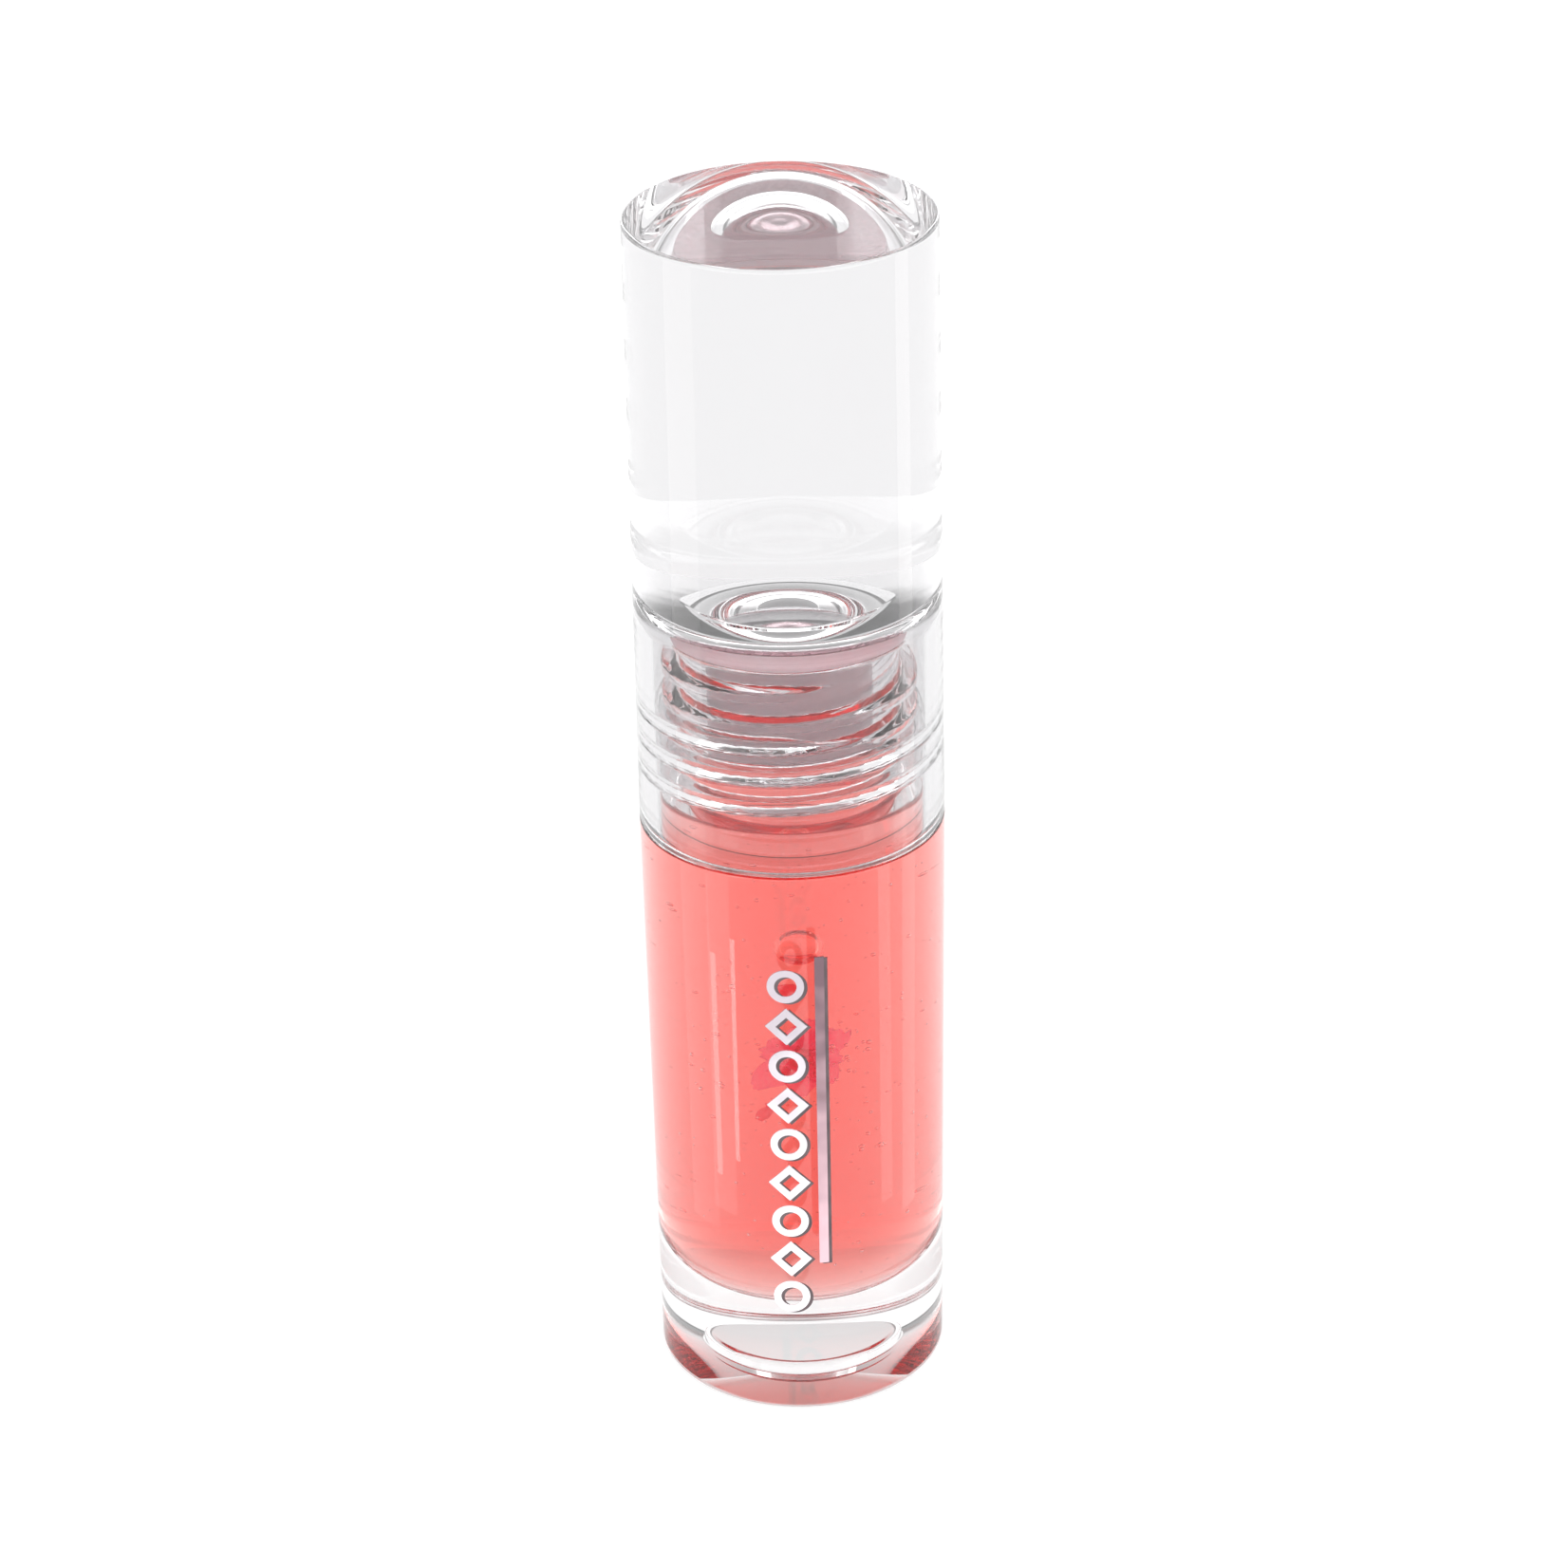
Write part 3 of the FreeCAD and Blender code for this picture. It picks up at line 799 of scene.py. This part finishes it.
def make_world():
    """The surround: its tones run round the tube by height, and it is brighter in front."""
    world = bpy.data.worlds.new("studio")
    bpy.context.scene.world = world
    world.use_nodes = True
    tree = world.node_tree
    back = tree.nodes["Background"]
    place = tree.nodes.new("ShaderNodeTexCoord")
    split = tree.nodes.new("ShaderNodeSeparateXYZ")
    tree.links.new(place.outputs["Generated"], split.inputs[0])
    ramp = tree.nodes.new("ShaderNodeValToRGB")
    tree.links.new(split.outputs["Z"], ramp.inputs[0])
    elements = ramp.color_ramp.elements
    while len(elements) < len(SURROUND):
        elements.new(0.5)
    for element, (height, tone) in zip(elements, SURROUND):
        element.position = height
        element.color = (tone, tone, tone, 1)
    tree.links.new(ramp.outputs[0], back.inputs["Color"])
    front = node(tree, "ShaderNodeMapRange", From_Min=0.1, From_Max=-0.4, To_Min=1, To_Max=FRONT_GAIN)
    tree.links.new(split.outputs["Y"], front.inputs["Value"])
    tree.links.new(front.outputs[0], back.inputs["Strength"])


def make_camera():
    """A long lens looking down at the tube, leaning slightly."""
    pitch, yaw, roll = (math.radians(a) for a in CAMERA_ANGLES)
    forward = Vector((math.sin(yaw) * math.cos(pitch), math.cos(yaw) * math.cos(pitch), -math.sin(pitch)))
    level = Vector((math.cos(yaw), -math.sin(yaw), 0))
    above = level.cross(forward)
    right = level * math.cos(roll) + above * math.sin(roll)
    up = above * math.cos(roll) - level * math.sin(roll)
    data = bpy.data.cameras.new("camera")
    data.sensor_width = SENSOR_WIDTH
    data.lens = LENS
    data.clip_start = 0.01
    camera = bpy.data.objects.new("camera", data)
    x, y, z = CAMERA_PLACE
    camera.matrix_world = Matrix((
        (right.x, up.x, -forward.x, x),
        (right.y, up.y, -forward.y, y),
        (right.z, up.z, -forward.z, z),
        (0, 0, 0, 1),
    ))
    bpy.context.scene.collection.objects.link(camera)
    bpy.context.scene.camera = camera


def set_light_paths():
    """Enough bounces for light to cross every clear wall, and colours shown as they are."""
    scene = bpy.context.scene
    scene.cycles.max_bounces = BOUNCES
    scene.cycles.transmission_bounces = BOUNCES
    scene.cycles.glossy_bounces = BOUNCES // 2
    scene.cycles.use_denoising = True
    scene.view_settings.view_transform = "Standard"


make_bottle()
make_gloss()
make_bubbles()
make_flower()
make_loose_petals()
make_foil()
make_housing()
make_ball()
make_ring()
make_cap()
make_floor()
for panel in PANELS:
    make_panel(*panel)
make_world()
make_camera()
set_light_paths()
